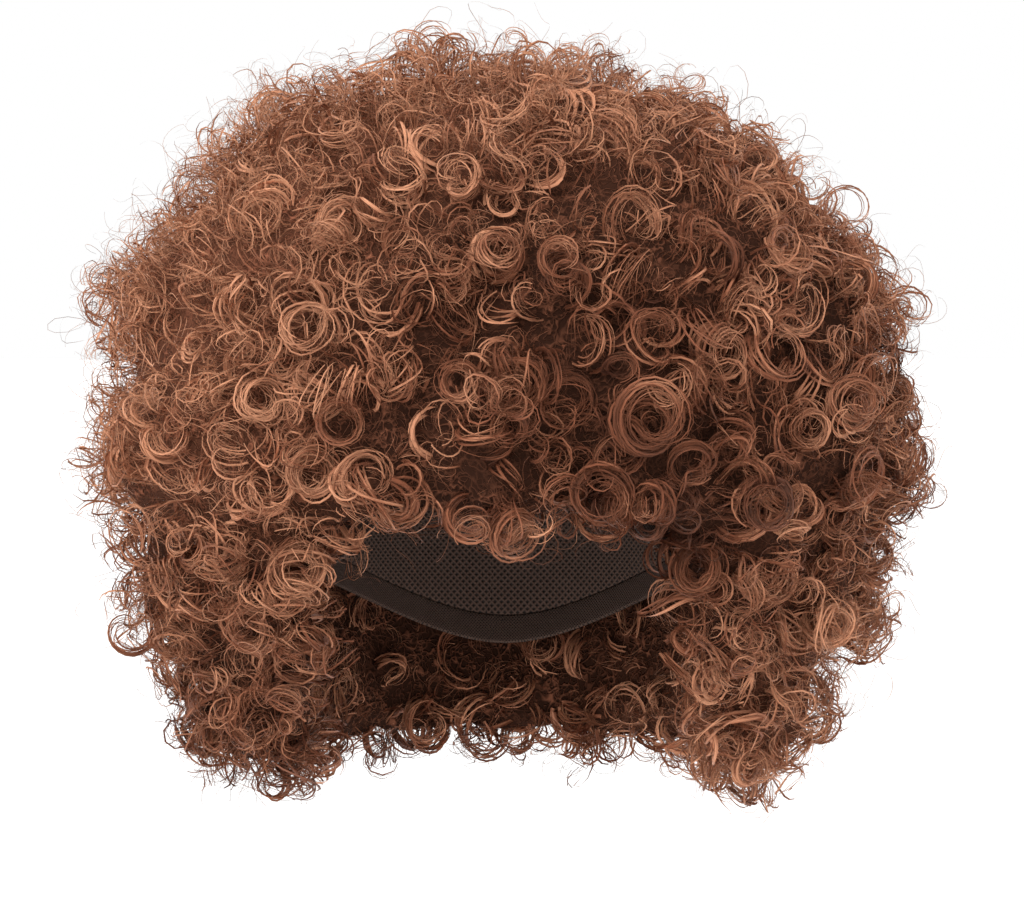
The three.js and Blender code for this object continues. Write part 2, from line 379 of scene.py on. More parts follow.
class Nodes:
    """Adds nodes to a tree. A value is a socket to join, or a constant to set."""

    def __init__(self, tree):
        self.tree = tree

    def join(self, node, sockets):
        for key, value in dict(sockets).items():
            if isinstance(value, bpy.types.NodeSocket):
                self.tree.links.new(value, node.inputs[key])
            else:
                node.inputs[key].default_value = value

    def add(self, kind, sockets=(), **settings):
        node = self.tree.nodes.new(kind)
        for name, value in settings.items():
            setattr(node, name, value)
        self.join(node, sockets)
        return node

    def math(self, operation, *values):
        return self.add("ShaderNodeMath", enumerate(values), operation=operation).outputs[0]

    def vector(self, operation, *values):
        return self.add("ShaderNodeVectorMath", enumerate(values), operation=operation).outputs[0]

    def scaled(self, vector, amount):
        sockets = {"Vector": vector, "Scale": amount}
        return self.add("ShaderNodeVectorMath", sockets, operation="SCALE").outputs[0]

    def split(self, vector):
        return self.add("ShaderNodeSeparateXYZ", {0: vector}).outputs

    def ramp(self, value, first, last, low, high):
        """A smooth change from low to high, while the value goes from first to last."""
        sockets = {"Value": value, "From Min": first, "From Max": last, "To Min": low, "To Max": high}
        return self.add("ShaderNodeMapRange", sockets, interpolation_type="SMOOTHSTEP").outputs[0]

    def centred(self, share, amount):
        """A share from 0 to 1 as an amount to both sides of 0."""
        return self.math("MULTIPLY_ADD", share, amount, -amount / 2)

    def aside(self, share):
        """How far a share lies from its middle."""
        return self.math("ABSOLUTE", self.math("SUBTRACT", share, 0.5))

    def noise(self, vector, scale, detail=2.0):
        sockets = {"Vector": vector, "Scale": scale, "Detail": detail}
        return self.add("ShaderNodeTexNoise", sockets).outputs

    def named(self, name, data_type="FLOAT"):
        """An attribute in a geometry tree."""
        node = self.add("GeometryNodeInputNamedAttribute", {"Name": name}, data_type=data_type)
        return node.outputs["Attribute"]

    def painted(self, name):
        """An attribute in a material."""
        return self.add("ShaderNodeAttribute", attribute_name=name).outputs["Fac"]

    def store(self, geometry, name, value, data_type="FLOAT", domain="POINT"):
        sockets = {"Geometry": geometry, "Name": name, "Value": value}
        node = self.add("GeometryNodeStoreNamedAttribute", sockets, data_type=data_type, domain=domain)
        return node.outputs[0]

    def blend(self, value, *stops):
        """A blend of colours, from stops that are each a position and a colour."""
        node = self.add("ShaderNodeValToRGB", {"Fac": value})
        elements = node.color_ramp.elements
        while len(elements) < len(stops):
            elements.new(0.5)
        for element, (position, colour) in zip(elements, stops):
            element.position = position
            element.color = (*colour, 1.0)
        return node.outputs["Color"]

    def bump(self, height, strength, distance):
        sockets = {"Height": height, "Strength": strength, "Distance": distance}
        return self.add("ShaderNodeBump", sockets).outputs["Normal"]


def new_tree(name, kinds):
    """A geometry tree with the named inputs, besides the geometry that goes in and comes out."""
    tree = bpy.data.node_groups.new(name, "GeometryNodeTree")
    for socket, kind in {"Geometry": "Geometry", **kinds}.items():
        tree.interface.new_socket(socket, in_out="INPUT", socket_type="NodeSocket" + kind)
    tree.interface.new_socket("Geometry", in_out="OUTPUT", socket_type="NodeSocketGeometry")
    nodes = Nodes(tree)
    return nodes, nodes.add("NodeGroupInput").outputs


def close_tree(nodes, mesh, material):
    """The end of a geometry tree: smooth faces, all made real, of one material."""
    mesh = nodes.add("GeometryNodeSetShadeSmooth", {"Geometry": mesh}).outputs[0]
    mesh = nodes.add("GeometryNodeRealizeInstances", {"Geometry": mesh}).outputs[0]
    mesh = nodes.add("GeometryNodeSetMaterial", {"Geometry": mesh, "Material": material}).outputs[0]
    nodes.add("NodeGroupOutput", {0: mesh})
    return nodes.tree


def strand_curves(nodes, inputs):
    """A straight curve for each strand of each lock, which carries the lock's columns and its own."""
    points = nodes.add("GeometryNodeMeshToPoints", {"Mesh": inputs["Geometry"]}).outputs[0]
    sockets = {"Geometry": points, "Amount": nodes.named("lock_strands", "INT")}
    copies = nodes.add("GeometryNodeDuplicateElements", sockets, domain="POINT").outputs
    is_band = nodes.math("LESS_THAN", copies["Duplicate Index"], nodes.named("lock_bands", "INT"))
    strands = nodes.store(copies["Geometry"], "lock_is_band", is_band)
    index = nodes.add("GeometryNodeInputIndex").outputs[0]
    for number, name in enumerate(("lock_jitter", "lock_shift", "lock_drift")):
        seed = nodes.math("ADD", inputs["Seed"], number)
        sockets = {0: (-1, -1, -1), 1: (1, 1, 1), "ID": index, "Seed": seed}
        value = nodes.add("FunctionNodeRandomValue", sockets, data_type="FLOAT_VECTOR").outputs[0]
        strands = nodes.store(strands, name, value, "FLOAT_VECTOR")
    strands = nodes.store(strands, "lock_number", index, "INT")

    line = nodes.add("GeometryNodeCurvePrimitiveLine").outputs[0]
    lines = nodes.add("GeometryNodeInstanceOnPoints", {"Points": strands, "Instance": line}).outputs[0]
    lines = nodes.add("GeometryNodeRealizeInstances", {"Geometry": lines}).outputs[0]
    sockets = {"Curve": lines, "Count": nodes.named("lock_points", "INT")}
    return nodes.add("GeometryNodeResampleCurve", sockets).outputs[0]


def strand_way(nodes, along):
    """Where a strand lies along its way, and which way is out of its coil there."""
    jitter = nodes.split(nodes.named("lock_jitter", "FLOAT_VECTOR"))
    shift = nodes.named("lock_shift", "FLOAT_VECTOR")
    loose = nodes.named("lock_loose")
    axis = nodes.named("lock_axis", "FLOAT_VECTOR")
    side = nodes.named("lock_side", "FLOAT_VECTOR")

    turns = nodes.math("MULTIPLY_ADD", jitter[1], TURN_SPREAD, 1.0)
    turns = nodes.math("MULTIPLY", nodes.named("lock_turns"), turns)
    phase = nodes.math("MULTIPLY_ADD", jitter[1], PHASE_SPREAD, nodes.named("lock_phase"))
    angle = nodes.math("MULTIPLY", nodes.math("MULTIPLY", turns, along), math.tau)
    angle = nodes.math("MULTIPLY", nodes.math("ADD", angle, phase), nodes.named("lock_hand"))
    cosine = nodes.math("COSINE", angle)
    sine = nodes.math("SINE", angle)
    across = nodes.vector("CROSS_PRODUCT", axis, side)
    radial = nodes.vector("ADD", nodes.scaled(side, cosine), nodes.scaled(across, sine))

    radius = nodes.named("lock_radius")
    for share in (
        nodes.math("MULTIPLY_ADD", jitter[0], RADIUS_SPREAD, 1.0),
        nodes.ramp(along, first=0.0, last=0.4, low=0.55, high=1.0),
        nodes.ramp(along, first=0.65, last=1.0, low=1.0, high=0.6),
    ):
        radius = nodes.math("MULTIPLY", radius, share)

    left = nodes.math("SUBTRACT", 1.0, along)
    sunk = nodes.math("MULTIPLY", nodes.named("lock_depth"), nodes.math("POWER", left, SINK_POWER))
    lift = nodes.math("SUBTRACT", nodes.math("MULTIPLY", jitter[2], loose), sunk)
    lean = nodes.split(shift)
    leaning = nodes.math("MULTIPLY", lean[0], cosine)
    leaning = nodes.math("ADD", leaning, nodes.math("MULTIPLY", lean[1], sine))
    leaning = nodes.math("MULTIPLY", nodes.math("MULTIPLY", leaning, radius), LEAN)
    dive = nodes.math("MULTIPLY", nodes.math("POWER", left, DIVE_POWER), -ROOT_DEPTH)
    place = nodes.named("lock_tip", "FLOAT_VECTOR")
    for way, amount in (
        (axis, nodes.math("ADD", lift, leaning)),
        (radial, radius),
        (nodes.named("lock_out", "FLOAT_VECTOR"), dive),
        (shift, nodes.math("MULTIPLY", loose, SHIFT)),
    ):
        place = nodes.vector("ADD", place, nodes.scaled(way, amount))

    drift = nodes.scaled(nodes.named("lock_drift", "FLOAT_VECTOR"), WANDER_DRIFT)
    wander = nodes.noise(nodes.vector("ADD", place, drift), WANDER_SCALE, detail=0.0)["Color"]
    wander = nodes.vector("SUBTRACT", wander, (0.5, 0.5, 0.5))
    amount = nodes.math("MULTIPLY", loose, nodes.ramp(along, first=0.0, last=1.0, low=0.8, high=2.4))
    return nodes.vector("ADD", place, nodes.scaled(wander, amount)), radial


def ribbons(nodes, curves, along, radial):
    """The strands as flat ribbons that lie round their coils and end in thin tips."""
    tangent = nodes.add("GeometryNodeInputTangent").outputs[0]
    sockets = {"Curve": curves, "Normal": nodes.vector("CROSS_PRODUCT", tangent, radial)}
    curves = nodes.add("GeometryNodeSetCurveNormal", sockets, mode="FREE").outputs[0]
    lean = nodes.split(nodes.named("lock_shift", "FLOAT_VECTOR"))
    twist = nodes.math("MULTIPLY_ADD", along, TWIST, nodes.math("ADD", lean[2], math.pi / 2))
    curves = nodes.add("GeometryNodeSetCurveTilt", {"Curve": curves, "Tilt": twist}).outputs[0]

    columns = (nodes.named(name) for name in ("lock_is_band", "lock_band", "lock_width"))
    width = nodes.math("MULTIPLY_ADD", *columns)
    width = nodes.math("MULTIPLY", width, nodes.ramp(along, first=0.45, last=1.0, low=1.0, high=0.35))
    jitter = nodes.split(nodes.named("lock_jitter", "FLOAT_VECTOR"))
    width = nodes.math("MULTIPLY", width, nodes.math("MULTIPLY_ADD", jitter[0], WIDTH_SPREAD, 1.0))
    ends = {"Start": (-0.5, 0.0, 0.0), "End": (0.5, 0.0, 0.0)}
    profile = nodes.add("GeometryNodeCurvePrimitiveLine", ends).outputs[0]
    profile = nodes.store(profile, "across", nodes.add("GeometryNodeInputIndex").outputs[0])
    sockets = {"Curve": curves, "Profile Curve": profile, "Scale": width}
    return nodes.add("GeometryNodeCurveToMesh", sockets).outputs[0]


def bake_cells(nodes, mesh, columns, rows):
    """The bake's UV map, in which each strand has a cell of its own."""
    number = nodes.named("lock_number", "INT")
    column = nodes.math("MODULO", number, columns)
    row = nodes.math("FLOOR", nodes.math("DIVIDE", nodes.math("ADD", number, 0.5), columns))
    corner = {}
    for axis, start, share, fill, count in (
        ("X", column, "across", CELL_WIDTH, columns), ("Y", row, "along", CELL_HEIGHT, rows),
    ):
        inside = nodes.math("MULTIPLY_ADD", nodes.named(share), fill, (1 - fill) / 2)
        corner[axis] = nodes.math("DIVIDE", nodes.math("ADD", start, inside), count)
    cell = nodes.add("ShaderNodeCombineXYZ", corner).outputs[0]
    return nodes.store(mesh, "OFBake", cell, "FLOAT2", "CORNER")


def curl_tree():
    """Strands from lock points: each strand runs from its root up a coil to its tip."""
    kinds = {"Columns": "Int", "Rows": "Int", "Seed": "Int", "Material": "Material"}
    nodes, inputs = new_tree("Curled strands", kinds)
    along = nodes.add("GeometryNodeSplineParameter").outputs["Factor"]
    curves = nodes.store(strand_curves(nodes, inputs), "along", along)
    place, radial = strand_way(nodes, along)
    curves = nodes.add("GeometryNodeSetPosition", {"Geometry": curves, "Position": place}).outputs[0]
    mesh = ribbons(nodes, curves, along, radial)
    mesh = bake_cells(nodes, mesh, inputs["Columns"], inputs["Rows"])
    drift = nodes.split(nodes.named("lock_drift", "FLOAT_VECTOR"))
    tone = nodes.math("MULTIPLY_ADD", drift[0], TONE_SPREAD, nodes.named("lock_tone"))
    mesh = nodes.store(mesh, "tone", tone)
    sockets = {"Geometry": mesh, "Name": "lock_*"}
    mesh = nodes.add("GeometryNodeRemoveAttribute", sockets, pattern_mode="WILDCARD").outputs[0]
    return close_tree(nodes, mesh, inputs["Material"])


def mass_tree():
    """The hair drawn in on all sides, so that what is thinner goes, with low tufts on what is left."""
    kinds = {"Depth": "Float", "Detail": "Float", "Tufts": "Float", "Material": "Material"}
    nodes, inputs = new_tree("Dense hair", kinds)
    sockets = {
        "Mesh": inputs["Geometry"], "Voxel Size": inputs["Detail"],
        "Interior Band Width": nodes.math("MULTIPLY", inputs["Depth"], 2.0),
    }
    volume = nodes.add("GeometryNodeMeshToVolume", sockets, resolution_mode="VOXEL_SIZE").outputs[0]
    sockets = {"Volume": volume, "Voxel Size": inputs["Detail"], "Threshold": 0.5}
    mesh = nodes.add("GeometryNodeVolumeToMesh", sockets, resolution_mode="VOXEL_SIZE").outputs[0]
    place = nodes.add("GeometryNodeInputPosition").outputs[0]
    sockets = {"Value": place, "Iterations": BLUR_STEPS}
    even = nodes.add("GeometryNodeBlurAttribute", sockets, data_type="FLOAT_VECTOR").outputs[0]
    height = nodes.centred(nodes.noise(place, TUFT_SCALE)["Fac"], 2.0)
    height = nodes.math("MULTIPLY", height, inputs["Tufts"])
    offset = nodes.scaled(nodes.add("GeometryNodeInputNormal").outputs[0], height)
    sockets = {"Geometry": mesh, "Position": even, "Offset": offset}
    mesh = nodes.add("GeometryNodeSetPosition", sockets).outputs[0]
    return close_tree(nodes, mesh, inputs["Material"])


def bake(piece):
    """Leaves the result of a piece's modifiers as its plain mesh."""
    made = bpy.data.meshes.new_from_object(piece.evaluated_get(bpy.context.evaluated_depsgraph_get()))
    piece.modifiers.clear()
    old, piece.data = piece.data, made
    bpy.data.meshes.remove(old)
    made.name = piece.name


def apply_tree(piece, tree, values):
    """Runs a geometry tree on a piece and leaves its result as the piece's plain mesh."""
    modifier = piece.modifiers.new(tree.name, "NODES")
    modifier.node_group = tree
    sockets = {s.name: s.identifier for s in tree.interface.items_tree if s.in_out == "INPUT"}
    for name, value in values.items():
        modifier[sockets[name]] = value
    bake(piece)


def new_piece(name, mesh):
    piece = bpy.data.objects.new(name, mesh)
    bpy.context.scene.collection.objects.link(piece)
    return piece


def copy_of(node, name):
    """A node's solid as a new piece, with its shared points merged."""
    mesh = frame["nodes"][node].data.copy()
    mesh.name = name
    mesh.materials.clear()
    shape = bmesh.new()
    shape.from_mesh(mesh)
    bmesh.ops.remove_doubles(shape, verts=shape.verts, dist=MERGE_DISTANCE)
    bmesh.ops.recalc_face_normals(shape, faces=shape.faces)
    shape.to_mesh(mesh)
    shape.free()
    return new_piece(name, mesh)


def points_of(mesh):
    places = np.empty(len(mesh.vertices) * 3)
    mesh.vertices.foreach_get("co", places)
    return places.reshape(-1, 3)


def settle(piece, node):
    """The piece moves with the wig and stands for a node, if one is given."""
    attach(piece, "root")
    if node:
        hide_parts(node)


class Place(NamedTuple):
    """A place that a ray meets: its point, the normal there, its node and where the ray came from."""

    point: np.ndarray
    normal: np.ndarray
    node: str
    seen_from: str


class Surface:
    """The frame's solids as one surface to cast rays at."""

    def __init__(self, nodes):
        self.nodes = list(nodes)
        places, faces, self.owner = [], [], []
        for number, node in enumerate(self.nodes):
            mesh = frame["nodes"][node].data
            start = len(places)
            places.extend(v.co.copy() for v in mesh.vertices)
            faces.extend([start + i for i in p.vertices] for p in mesh.polygons)
            self.owner.extend([number] * len(mesh.polygons))
        self.tree = BVHTree.FromPolygons(places, faces)

    def hit(self, start, way, seen_from):
        """The first place that a ray meets, or none."""
        point, normal, face, _ = self.tree.ray_cast(Vector(start), Vector(way), RAY_LENGTH)
        if point is None:
            return None
        return Place(np.array(point), np.array(normal), self.nodes[self.owner[face]], seen_from)

    def nearest(self, point):
        return np.array(self.tree.find_nearest(Vector(point))[0])

    def thickness(self, place):
        """How thick the solid is under a place, as far as a lock may be rooted."""
        start = Vector(place.point - place.normal * SKIN)
        far = self.tree.ray_cast(start, Vector(-place.normal), ROOTED)[3]
        return ROOTED if far is None else far


def unit(vectors):
    return vectors / np.linalg.norm(vectors, axis=-1, keepdims=True)


def spread_over(surface, rng):
    """Places all over the hair: those met from all round, from inside the hollow and from below."""
    found = []
    for way in unit(rng.normal(size=(OUTER_RAYS, 3))):
        found.append(surface.hit(CAP_CENTRE + way * RAY_LENGTH, -way, "outside"))
    low, high = np.array(CAD_BOX[0]), np.array(CAD_BOX[1])
    for _ in range(INNER_RAYS):
        turn = rng.uniform(0, math.tau)
        start = (0.0, 0.0, rng.uniform(low[2], HOLLOW_TOP))
        found.append(surface.hit(start, (math.cos(turn), math.sin(turn), 0.0), "inside"))
        x, y = rng.uniform(low[:2], high[:2])
        found.append(surface.hit((x, y, low[2] - BELOW), (0.0, 0.0, 1.0), "below"))
    return [
        place for place in found
        if place and place.node in HAIR_ROWS
        and (place.seen_from == "outside" or surface.thickness(place) >= ROOTED)
    ]


def apart(places, spacing, rng):
    """Which of the places to keep so that no two lie closer than the spacing."""
    cells, kept = {}, []
    for i in rng.permutation(len(places)):
        cell = np.floor(places[i] / spacing).astype(int)
        near = [
            j
            for x in (-1, 0, 1) for y in (-1, 0, 1) for z in (-1, 0, 1)
            for j in cells.get((cell[0] + x, cell[1] + y, cell[2] + z), ())
        ]
        if all(np.linalg.norm(places[i] - places[j]) >= spacing for j in near):
            cells.setdefault(tuple(cell), []).append(i)
            kept.append(i)
    return kept


def sloped(slope, place, extra=0.0):
    """The share that a slope gives at a place, with an extra amount there."""
    share = slope.base - slope.left * place[0] + slope.up * (place[2] - slope.level) + extra
    return float(np.clip(share, slope.least, slope.most))


def frizziness(place):
    """How frizzy the hair is at a place: most at the top and on the left."""
    return sloped(FRIZZ, place)


def lightness(place):
    """How light the hair's tone is at a place, with painted light and shade: darkest at the middle of
    the front, painted shade where its curls stand in shadow; light at the top and the left, painted
    light where the key light falls; and lighter on the lowest curls at the right."""
    x, y, z = place
    shades = PAINTED_SHADES if y < 0 else ()
    # painted shade where the curls on the front stand in shadow
    dark = sum(s.amount * math.exp(-((x - s.x) ** 2 + (z - s.z) ** 2) / s.reach ** 2) for s in shades)
    low = (LOW_RIGHT if x > 0 else LOW_LEFT) * x * max(0.0, PAINTED_LIGHT.level - z)
    return sloped(PAINTED_LIGHT, place, low - dark)


def lock(kind, place, out, rng, facing=None, radius=None):
    """One lock of a kind at a place on the hair, as the columns that its strands are made from.

    It grows outwards there, and coils about that way too if no other facing is given.
    """
    frizz = frizziness(place)
    facing = out if facing is None else facing
    helper = unit(np.cross(facing, rng.normal(size=3)))
    tilt = math.radians(rng.uniform(*kind.tilt))
    axis = unit(facing * math.cos(tilt) + helper * math.sin(tilt) + SAG)
    side = unit(np.cross(axis, rng.normal(size=3)))
    radius = radius or rng.uniform(*kind.radius)
    rise = rng.uniform(*kind.rise) + FRIZZ_RISE * frizz
    rise -= radius * math.sqrt(max(0.0, 1 - float(axis @ out) ** 2))
    return {
        "lock_tip": place + out * rise,
        "lock_out": out,
        "lock_axis": axis,
        "lock_side": side,
        "lock_radius": radius,
        "lock_depth": rng.uniform(*kind.depth),
        "lock_turns": rng.uniform(*kind.turns),
        "lock_hand": rng.choice((-1.0, 1.0)),
        "lock_phase": rng.uniform(0, math.tau),
        # the lock's tone carries the painted light and shade of its place, spread at random
        "lock_tone": rng.normal(lightness(place), kind.tone),
        "lock_loose": kind.loose * (LOOSE_LEAST + LOOSE_FRIZZ * frizz),
        "lock_width": kind.width * (1.0 - WIDTH_LOST * frizz),
        "lock_band": (kind.band - kind.width) * (1.0 - BAND_LOST * frizz),
        "lock_bands": kind.bands,
        "lock_strands": kind.strands,
        "lock_points": kind.points,
    }


def camera_place(settings):
    back = np.array((0.0, -math.cos(settings.elevation), math.sin(settings.elevation)))
    return np.array(AIM) + back * settings.distance


def spot_on_hair(spot, spots, eye):
    """Where a clear curl of the photograph lies, and which of the spots carries it: the nearest to the
    camera of those round its pixel, or else the one that is nearest to its pixel."""
    right = np.array((1.0, 0.0, 0.0))
    ahead = unit(np.array(AIM) - eye)
    up = np.cross(right, ahead)
    depth = (spots - eye) @ ahead
    scale = PHOTO_SCALE / np.linalg.norm(np.array(AIM) - eye)
    x = PHOTO_WIDTH / 2 + (spots - eye) @ right / depth / scale
    y = PHOTO_HEIGHT / 2 - (spots - eye) @ up / depth / scale
    gap = np.hypot(x - spot.x, y - spot.y)
    i = int(np.where(gap < SPOT_REACH, depth, depth.max() + gap).argmin())
    across = (spot.x - PHOTO_WIDTH / 2) * scale
    high = (PHOTO_HEIGHT / 2 - spot.y) * scale
    return eye + (ahead + right * across + up * high) * depth[i], i


def all_locks(surface, settings, eye):
    """The locks that grow on the outside of each row of hair, by row, and those that grow inside and
    below, by INNER."""
    rng = np.random.default_rng(SEED)
    places = spread_over(surface, rng)
    places = [places[i] for i in apart(np.array([p.point for p in places]), EVEN_SPACING, rng)]
    spots = np.array([p.point for p in places])
    heights = np.linalg.norm(spots - CAP_CENTRE, axis=1)
    rows = {}

    def near(point, reach):
        return np.linalg.norm(spots - point, axis=1) < reach

    def filled(point):
        """The point moved out to the height of the high ones of its neighbours, and the way out."""
        height = np.linalg.norm(point - CAP_CENTRE)
        around = near(point, FILL_REACH)
        if around.any():
            height = np.quantile(heights[around], HIGH_SHARE)
        out = unit(point - CAP_CENTRE)
        return CAP_CENTRE + out * height, out

    def held(point):
        """The point drawn back to where a lock still reaches the solid hair."""
        ground = surface.nearest(point)
        gap = np.linalg.norm(point - ground)
        return ground + (point - ground) * min(1.0, MOST_FILL / max(SKIN, gap))

    def grow(kind, i):
        point, normal, row, seen_from = places[i]
        if seen_from == "outside":
            point, out = filled(point)
            normal = unit(OUT_SHARE * out + NORMAL_SHARE * normal)
            point = held(point)
        else:
            row = INNER
        rows.setdefault(row, []).append(lock(kind, point, normal, rng))

    taken = np.zeros(len(places), dtype=bool)
    for kind, table in ((CLEAR_RINGLET, CLEAR_SPOTS), (LOOP, LOOP_SPOTS)):
        for spot in table:
            point, i = spot_on_hair(spot, spots, eye)
            top, out = filled(point)
            view = unit(eye - point)
            if kind is CLEAR_RINGLET:
                point = point + view * max(0.0, float((top - point) @ view))
            point = held(point)
            radius = spot.across * PHOTO_SCALE / 2 * BAND_MIDDLE
            made = lock(kind, point, out, rng, unit(FACING_OUT * out + view), radius)
            rows.setdefault(places[i].node, []).append(made)
            if kind is CLEAR_RINGLET:
                taken |= near(point, radius)

    thin = np.zeros(len(places), dtype=bool)
    for spot in THIN_SPOTS:
        point, _ = spot_on_hair(spot, spots, eye)
        thin |= near(point, spot.across * PHOTO_SCALE / 2)

    for kind, spacing in ((RINGLET, settings.spacing), (DEEP_RINGLET, settings.deep_spacing)):
        for i in apart(spots, spacing, rng):
            frizzed = taken[i] or rng.uniform() < FRIZZ_SHARE * frizziness(spots[i])
            if not thin[i] and (kind is DEEP_RINGLET or not frizzed):
                grow(kind, i)

    chance = np.where([p.seen_from == "outside" for p in places], 1.0, INNER_SHARE)
    chance *= np.where(taken | thin, THIN_SHARE, 1.0)
    frizzy = chance * [WISPS_LEAST + WISPS_FRIZZ * frizziness(spot) for spot in spots]
    for kind, count, share in ((WISP, settings.wisps, frizzy), (FLYAWAY, settings.flyaways, chance)):
        for i in rng.choice(len(places), count, p=share / share.sum()):
            grow(kind, i)
    return rows


def lock_mesh(name, locks):
    """The locks as points that carry their columns."""
    mesh = bpy.data.meshes.new(name)
    mesh.vertices.add(len(locks))
    for column in locks[0]:
        values = np.array([one[column] for one in locks])
        kind = "FLOAT_VECTOR" if values.ndim == 2 else "INT" if values.dtype.kind == "i" else "FLOAT"
        field = "vector" if kind == "FLOAT_VECTOR" else "value"
        layer = mesh.attributes.new(column, kind, "POINT")
        layer.data.foreach_set(field, values.astype(np.int32 if kind == "INT" else np.float32).ravel())
    return mesh


def new_material(name):
    material = bpy.data.materials.new(name)
    material.use_nodes = True
    nodes = Nodes(material.node_tree)
    return material, nodes, material.node_tree.nodes["Principled BSDF"]


def tinted(colour, amount):
    return tuple(amount * c for c in colour)


def strand_material(settings):
    """Curled fibre: each strand has its own tone, with painted light and shade over the hair, painted
    glints in soft patches, painted shade at the root and at its edges, and a soft gloss along it.
    """
    material, nodes, shader = new_material("Curled fibre")
    tone, along, across = (nodes.painted(name) for name in ("tone", "along", "across"))
    where = nodes.add("ShaderNodeTexCoord").outputs["Object"]
    # Painted glints and shade: soft patches over the hair, lighter and darker.
    painted_light_patches = nodes.noise(where, scale=40.0)["Fac"]
    streak = nodes.noise(where, scale=900.0, detail=1.0)["Fac"]
    edge = nodes.aside(across)

    # The fibres lie along the strand. Its tone sets where in the noise they are taken from.
    grain = {}
    for axis, share, count, apart_by in (("X", across, 4.0, 97.0), ("Y", along, 5.0, 53.0)):
        grain[axis] = nodes.math("MULTIPLY_ADD", share, count, nodes.math("MULTIPLY", tone, apart_by))
    fibre = nodes.noise(nodes.add("ShaderNodeCombineXYZ", grain).outputs[0], scale=1.0)["Fac"]

    shade = tone
    for change in (
        nodes.centred(painted_light_patches, 1.2),
        # Painted shade at the root, where the strand lies deep in the hair, growing lighter towards the
        # tip.
        nodes.ramp(along, first=0.0, last=0.9, low=-0.18, high=0.12),
        nodes.centred(fibre, 1.0),
        # Painted shade: darker towards the edges, as on a round bundle of fibres.
        nodes.ramp(edge, first=0.2, last=0.5, low=0.0, high=-0.12),
    ):
        shade = nodes.math("ADD", shade, change)
    rounded = nodes.math("MULTIPLY", edge, edge)
    height = nodes.math("SUBTRACT", nodes.math("MULTIPLY", fibre, 0.7), rounded)
    low, high = settings.roughness - 0.08, settings.roughness + 0.1
    nodes.join(shader, {
        "Base Color": nodes.blend(
            shade, (0.0, settings.dark), (0.5, settings.middle), (1.0, settings.light),
        ),
        "Normal": nodes.bump(height, strength=0.8, distance=0.002),
        "Roughness": nodes.ramp(streak, first=0.2, last=0.8, low=low, high=high),
        "Specular IOR Level": 0.34,
        "Specular Tint": (*settings.sheen, 1.0),
    })
    return material


def under_material(settings):
    """The dense hair under the ringlets: fine curled fibres that cross over dark depths of painted
    shade.
    """
    material, nodes, shader = new_material("Dense hair")
    where = nodes.add("ShaderNodeTexCoord").outputs["Object"]
    fibres = 0.0
    for layer in UNDER_FIBRES:
        aside = nodes.aside(nodes.noise(where, layer.scale, detail=1.0)["Fac"])
        reach = layer.width * layer.scale
        fibre = nodes.ramp(aside, first=0.0, last=reach, low=layer.light, high=0.0)
        fibres = nodes.math("MAXIMUM", fibres, fibre)
    # Painted shade: random patches of the mass are darker, as if deeper in the hair.
    depth = nodes.noise(where, scale=70.0, detail=1.0)["Fac"]
    tone = nodes.painted("tone")
    shade = fibres
    for share in (
        nodes.ramp(depth, first=0.35, last=0.6, low=0.25, high=1.0),
        # Painted shade where the tone is dark.
        nodes.ramp(tone, first=0.4, last=0.95, low=0.5, high=1.0),
    ):
        shade = nodes.math("MULTIPLY", shade, share)
    # Painted light is added where the tone is light, at the top and the left.
    shade = nodes.math("ADD", shade, nodes.ramp(tone, first=0.65, last=1.0, low=0.0, high=0.35))
    # The darkest colour is painted shade in the depths between the fibres.
    deep = tinted(settings.colour, 0.1)
    nodes.join(shader, {
        "Base Color": nodes.blend(shade, (0.0, deep), (1.0, settings.colour)),
        "Normal": nodes.bump(shade, strength=1.0, distance=0.003),
        "Roughness": 0.9,
        "Specular IOR Level": 0.08,
    })
    return material


def net_material(settings, name, count):
    """Knitted net or woven elastic: crossing threads round and down the cap."""
    material, nodes, shader = new_material(name)
    where = nodes.split(nodes.add("ShaderNodeUVMap", uv_map="Threads").outputs[0])
    threads = []
    for lean in (1.0, -1.0):
        phase = nodes.math("MULTIPLY_ADD", where[0], lean, where[1])
        wave = nodes.math("SINE", nodes.math("MULTIPLY", phase, math.pi / settings.pitch * count))
        threads.append(nodes.math("ABSOLUTE", wave))
    height = nodes.math("MAXIMUM", *threads)
    # The gaps between the threads are darker: painted shade in the net's holes and the grooves of the
    # weave.
    gap, thread = tinted(settings.colour, 0.25), tinted(settings.colour, 1.6)
    nodes.join(shader, {
        "Base Color": nodes.blend(height, (0.55, gap), (1.0, thread)),
        "Normal": nodes.bump(height, strength=0.9, distance=0.0008),
        "Roughness": 0.8,
    })
    return material


def lay_threads(piece):
    """A UV map in metres round and down the cap, for the threads."""
    mesh = piece.data
    places = points_of(mesh) - CAP_CENTRE
    turn = np.arctan2(places[:, 0], -places[:, 1])
    drop = np.arccos(np.clip(places[:, 2] / np.linalg.norm(places, axis=1), -1, 1))
    corners = np.empty(len(mesh.loops), dtype=np.int32)
    mesh.loops.foreach_get("vertex_index", corners)
    flat = np.stack((turn[corners], drop[corners]), axis=1) * CAP_HALF_WIDTH
    for face in mesh.polygons:
        around = flat[list(face.loop_indices), 0]
        if around.max() - around.min() > math.pi * CAP_HALF_WIDTH:
            around[around < 0] += math.tau * CAP_HALF_WIDTH
            flat[list(face.loop_indices), 0] = around
    layer = mesh.uv_layers.new(name="Threads")
    layer.data.foreach_set("uv", flat.astype(np.float32).ravel())


def smooth_copy(node, name):
    """A node's solid as a new piece with soft edges."""
    piece = copy_of(node, name)
    bevel = piece.modifiers.new("Edges", "BEVEL")
    bevel.width = EDGE_WIDTH
    bevel.segments = 2
    rounded = piece.modifiers.new("Round", "SUBSURF")
    rounded.levels = 1
    bake(piece)
    piece.data.shade_smooth()
    return piece


